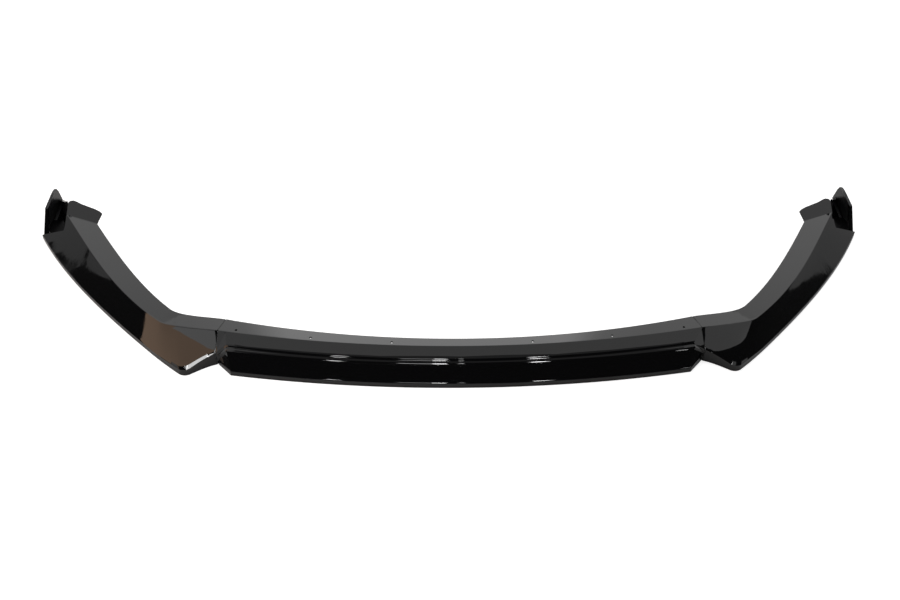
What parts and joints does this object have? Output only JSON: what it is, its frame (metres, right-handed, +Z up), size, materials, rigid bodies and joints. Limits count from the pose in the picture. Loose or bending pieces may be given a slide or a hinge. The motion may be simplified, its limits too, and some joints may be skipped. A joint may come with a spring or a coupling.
{
  "type": "front splitter lip",
  "caption": "Three-section front bumper splitter lip in gloss black plastic with a bowed centre panel, swept wings and upright end fins.",
  "frame": {"origin": "on the ground at the middle of the lip's width and depth", "axes": "+X across the car, to the right in the picture; +Y towards the rear of the car; +Z up"},
  "size_m": [1.8, 0.6465, 0.0789],
  "materials": {
    "gloss_black_abs": "gloss",
    "zinc_steel": "satin"
  },
  "bodies": {
    "root": {"centre_section": "gloss_black_abs", "left_section": "gloss_black_abs", "right_section": "gloss_black_abs", "left_end_fin": "gloss_black_abs", "right_end_fin": "gloss_black_abs", "left_joiner_plate": "zinc_steel", "right_joiner_plate": "zinc_steel", "left_joint_screw_1": "zinc_steel", "left_joint_screw_2": "zinc_steel", "left_joint_screw_3": "zinc_steel", "left_joint_screw_4": "zinc_steel", "right_joint_screw_1": "zinc_steel", "right_joint_screw_2": "zinc_steel", "right_joint_screw_3": "zinc_steel", "right_joint_screw_4": "zinc_steel", "left_fin_screw_1": "zinc_steel", "left_fin_screw_2": "zinc_steel", "right_fin_screw_1": "zinc_steel", "right_fin_screw_2": "zinc_steel"}
  },
  "joints": []
}
